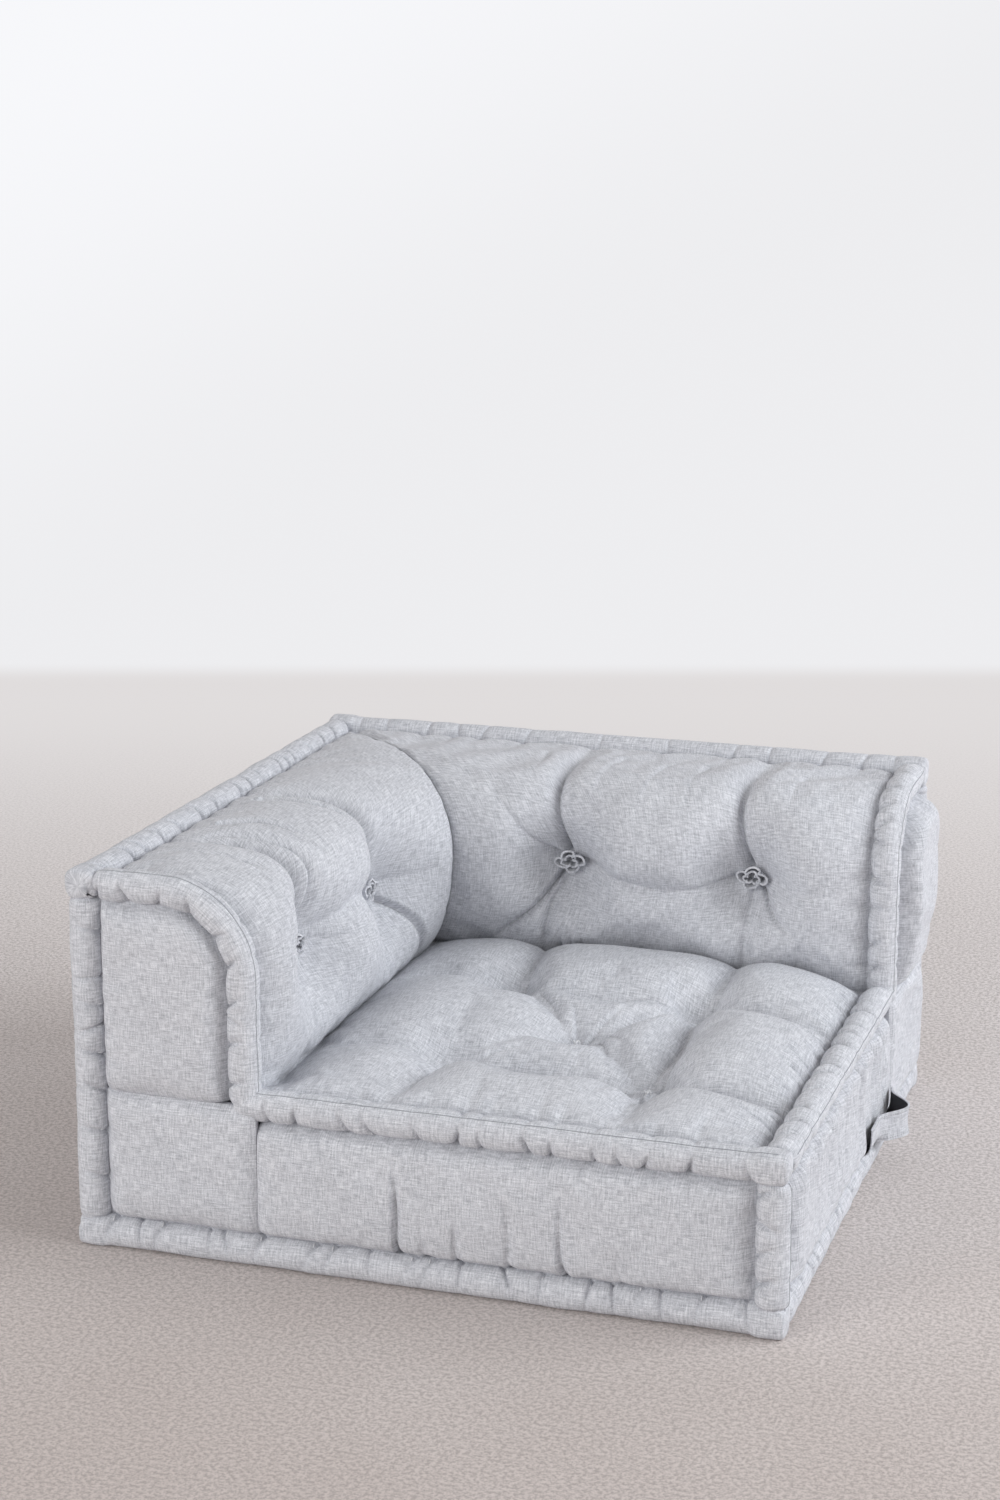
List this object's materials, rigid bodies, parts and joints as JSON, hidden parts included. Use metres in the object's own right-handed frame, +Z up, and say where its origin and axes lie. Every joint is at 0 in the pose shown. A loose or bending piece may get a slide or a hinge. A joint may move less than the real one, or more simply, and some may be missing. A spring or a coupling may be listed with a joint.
{
  "type": "corner sofa module",
  "caption": "Low square corner seat of stuffed linen: a mattress base with two mitred tufted bolsters, hand-rolled edges and a side grab strap.",
  "frame": {"origin": "on the floor under the middle of the square footprint, in the plane of the base cloth", "axes": "+Z up, +Y towards the back bolster, +X towards the free right-hand side seen from the front"},
  "size_m": [0.8689, 0.84, 0.45],
  "materials": {
    "cover_cloth": "matt woven linen-cotton, pale grey-blue melange",
    "stuffing": "loose cotton and fibre stuffing",
    "twine": "waxed pale twine with felt washers",
    "strap_lining": "black plain-woven lining"
  },
  "bodies": {
    "root": {"back_bolster_fill": "stuffing", "back_end_cap": "cover_cloth", "back_end_roll": "cover_cloth", "back_inner_panel": "cover_cloth", "back_outer_panel": "cover_cloth", "back_rosette_1": "cover_cloth", "back_rosette_2": "cover_cloth", "back_top_roll": "cover_cloth", "back_tuft_tie_1": "twine", "back_tuft_tie_2": "twine", "base_cloth": "cover_cloth", "front_band": "cover_cloth", "front_bottom_roll": "cover_cloth", "front_corner_panel": "cover_cloth", "front_left_corner_roll_lower": "cover_cloth", "front_left_corner_roll_upper": "cover_cloth", "front_right_corner_roll": "cover_cloth", "front_top_roll": "cover_cloth", "grab_strap": "cover_cloth", "grab_strap_lining": "strap_lining", "left_band": "cover_cloth", "left_bottom_roll": "cover_cloth", "rear_band": "cover_cloth", "rear_bottom_roll": "cover_cloth", "rear_left_corner_roll_lower": "cover_cloth", "rear_left_corner_roll_upper": "cover_cloth", "rear_right_corner_roll_lower": "cover_cloth", "rear_right_corner_roll_upper": "cover_cloth", "right_band": "cover_cloth", "right_bottom_roll": "cover_cloth", "right_corner_panel": "cover_cloth", "right_top_roll": "cover_cloth", "seat_fill": "stuffing", "seat_top_panel": "cover_cloth", "seat_tuft_knot_1": "twine", "seat_tuft_knot_2": "twine", "seat_tuft_knot_3": "twine", "seat_tuft_knot_4": "twine", "seat_tuft_knot_5": "twine", "seat_tuft_tie_1": "twine", "seat_tuft_tie_2": "twine", "seat_tuft_tie_3": "twine", "seat_tuft_tie_4": "twine", "seat_tuft_tie_5": "twine", "side_bolster_fill": "stuffing", "side_end_cap": "cover_cloth", "side_end_roll": "cover_cloth", "side_inner_panel": "cover_cloth", "side_outer_panel": "cover_cloth", "side_rosette_1": "cover_cloth", "side_rosette_2": "cover_cloth", "side_top_roll": "cover_cloth", "side_tuft_tie_1": "twine", "side_tuft_tie_2": "twine"}
  },
  "joints": []
}
